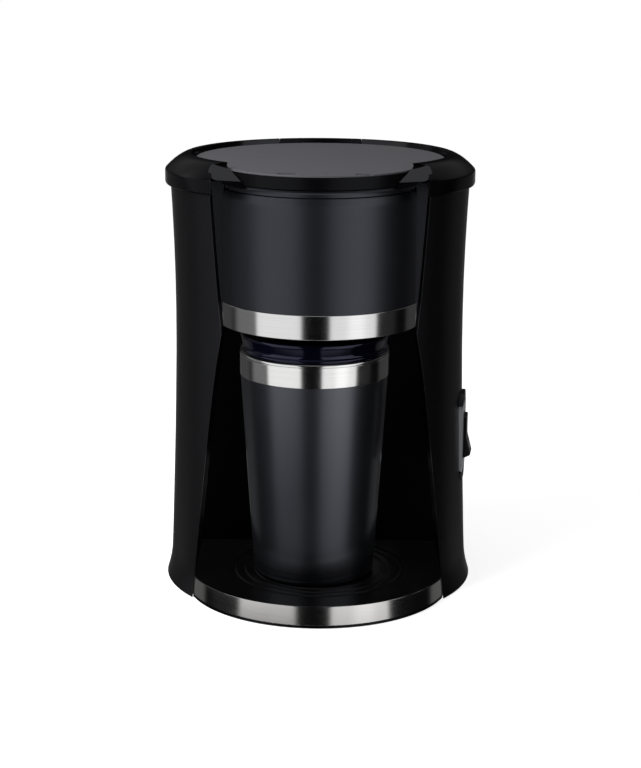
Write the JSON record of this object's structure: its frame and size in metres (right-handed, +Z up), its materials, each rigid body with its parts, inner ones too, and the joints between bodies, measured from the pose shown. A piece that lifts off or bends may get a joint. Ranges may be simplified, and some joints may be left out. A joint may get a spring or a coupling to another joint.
{
  "type": "drip coffee maker",
  "caption": "Compact round drip coffee maker with an open front bay, a steel-banded travel mug on its platform, a hinged round lid over filter and tank, and a side rocker switch.",
  "frame": {"origin": "middle of the footprint, on the surface that the feet stand on", "axes": "+Z up, the open front faces -Y, +X to the right of someone facing the front"},
  "size_m": [0.1752, 0.1866, 0.2428],
  "materials": {
    "shell": "satin black moulded plastic",
    "niche": "dull black moulded plastic",
    "collar": "polished black moulded plastic",
    "base_plastic": "satin black moulded plastic",
    "base_steel": "brushed stainless steel band",
    "head_steel": "brushed stainless steel band",
    "mug_steel": "brushed stainless steel band",
    "mug_inside": "plain stainless steel",
    "rubber": "black rubber",
    "fastener": "plated steel",
    "panel": "satin charcoal moulded plastic",
    "basket": "black heat-proof plastic",
    "mesh": "gold-toned fine mesh",
    "tank": "dark tinted plastic",
    "white_plastic": "natural plastic",
    "silicone": "translucent grey silicone",
    "cast": "cast aluminium",
    "heater_element": "ceramic-filled sheath",
    "thermostat": "black phenolic",
    "switch_black": "black moulded plastic",
    "switch_silver": "silver painted trim",
    "rocker": "black moulded plastic",
    "wire": "insulated lead",
    "lid_black": "polished black moulded plastic",
    "lid_grey": "satin grey painted disc",
    "mug_paint": "satin charcoal paint on steel",
    "mug_lid": "dark navy moulded plastic"
  },
  "bodies": {
    "machine": {"housing_shell": "shell", "niche_liner": "niche", "top_collar": "collar", "platform": "base_plastic", "base_band": "base_steel", "bottom_cover": "base_plastic", "rubber_feet": "rubber", "cover_screws": "fastener", "front_panel": "panel", "head_band": "head_steel", "head_floor": "base_plastic", "filter_basket": "basket", "filter_frame": "basket", "filter_mesh": "mesh", "water_tank": "tank", "tank_strainer": "white_plastic", "inlet_hose": "silicone", "hose_clamps": "fastener", "heater_block": "cast", "heating_element": "heater_element", "heater_bracket": "fastener", "thermostat": "thermostat", "thermal_fuses": "fastener", "riser_hose": "silicone", "riser_tube": "silicone", "riser_seal": "silicone", "switch_frame": "switch_black", "switch_plate": "switch_silver", "switch_body": "switch_black", "terminal_block": "white_plastic", "wiring": "wire", "cord_gland": "rubber", "hinge_pin": "fastener"},
    "lid": {"lid_shell": "lid_black", "lid_disc": "lid_grey", "water_channel": "basket", "channel_screws": "fastener"},
    "rocker": {"rocker": "rocker"},
    "mug": {"mug_body": "mug_paint", "mug_band": "mug_steel", "mug_liner": "mug_inside", "mug_base": "base_plastic"},
    "mug_lid": {"mug_lid": "mug_lid", "mug_lid_seal": "rubber"},
    "sip_slider": {"sip_slider": "mug_lid"},
    "valve_ball": {"valve_ball": "white_plastic"}
  },
  "joints": [
    {"name": "lid_hinge", "type": "hinge", "parent": "machine", "child": "lid", "pos_m": [0, 0.081, 0.2368], "axis": [-1, 0, 0], "range_deg": [0, 95]},
    {"name": "rocker_pivot", "type": "hinge", "parent": "machine", "child": "rocker", "pos_m": [0.07881, -0.00458, 0.084], "axis": [0.1392, 0.9903, 0], "range_deg": [0, 15]},
    {"name": "mug_slide", "type": "slide", "parent": "machine", "child": "mug", "axis": [0, -1, 0], "range_m": [0, 0.13]},
    {"name": "mug_lid_twist", "type": "hinge", "parent": "mug", "child": "mug_lid", "pos_m": [-0.0026, -0.0285, 0.139], "axis": [0, 0, 1], "range_deg": [0, 60]},
    {"name": "sip_slide", "type": "slide", "parent": "mug_lid", "child": "sip_slider", "axis": [0, -1, 0], "range_m": [0, 0.015]},
    {"name": "valve_lift", "type": "slide", "parent": "machine", "child": "valve_ball", "axis": [0, 0, 1], "range_m": [0, 0.003]}
  ]
}
